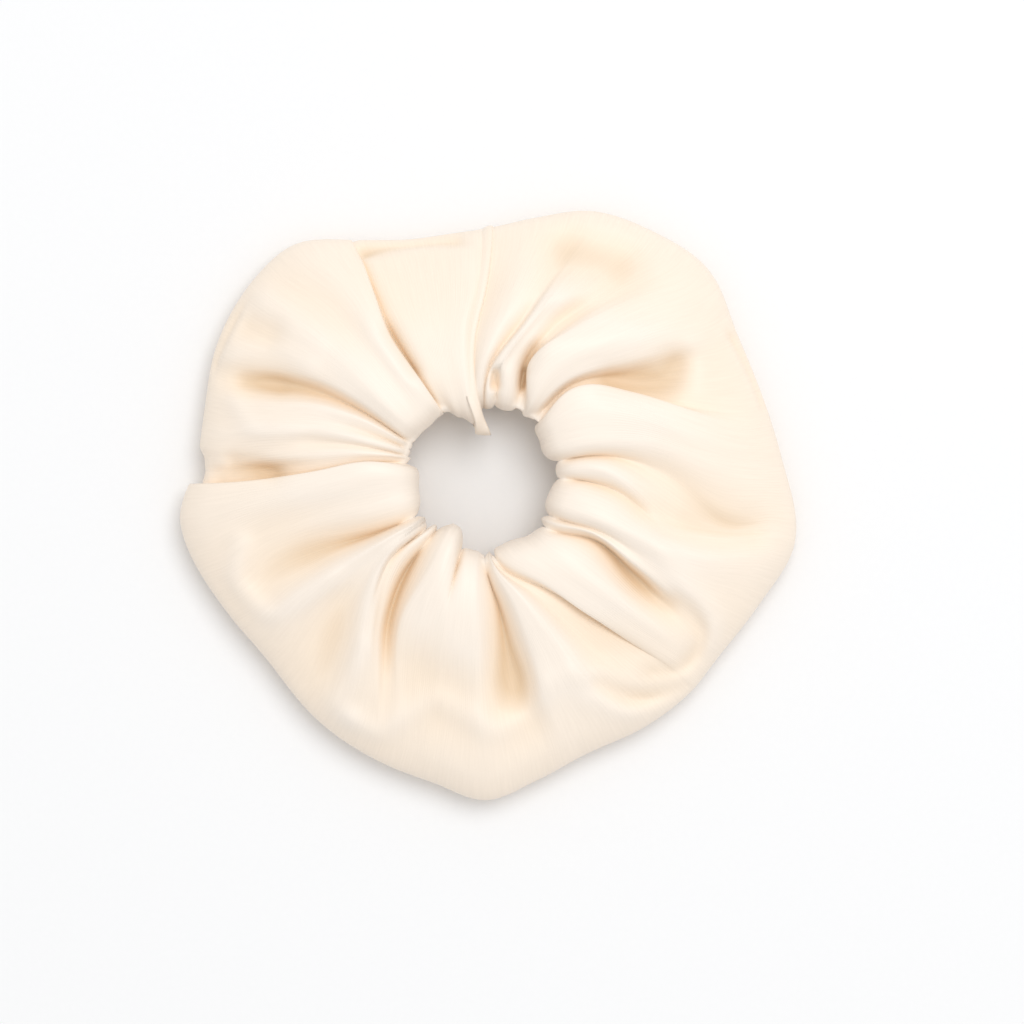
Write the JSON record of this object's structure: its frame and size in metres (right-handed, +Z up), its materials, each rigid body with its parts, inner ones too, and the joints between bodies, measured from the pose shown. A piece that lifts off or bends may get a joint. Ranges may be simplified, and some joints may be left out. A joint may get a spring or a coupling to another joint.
{
  "type": "gathered hair scrunchie",
  "caption": "Ring of gathered satin fabric tube with a flat elastic loop inside and one raised closing seam, lying flat.",
  "frame": {"origin": "on the surface that it lies on, under the middle of its bounding box", "axes": "+Z up, away from the surface; +Y from the middle of the hair opening towards the closing seam; +X across, the way the elastic is stretched"},
  "size_m": [0.1144, 0.1093, 0.0188],
  "materials": {
    "satin": "cream satin with a soft sheen",
    "elastic": "matt braided elastic",
    "thread": "twisted sewing thread"
  },
  "bodies": {
    "left_half": {"cover_left": "satin", "closing_seam_welt": "satin", "closing_seam_thread": "thread", "long_seam_allowance_left": "satin", "long_seam_thread_left": "thread", "elastic_upper_end": "elastic", "elastic_lower_end": "elastic", "elastic_lap_thread": "thread"},
    "right_half": {"cover_right": "satin", "long_seam_allowance_right": "satin", "long_seam_thread_right": "thread", "elastic_right": "elastic"}
  },
  "joints": [
    {"name": "stretch", "type": "slide", "parent": "left_half", "child": "right_half", "axis": [1, 0, 0], "range_m": [0, 0.06], "stiffness_N_per_m": 100}
  ]
}
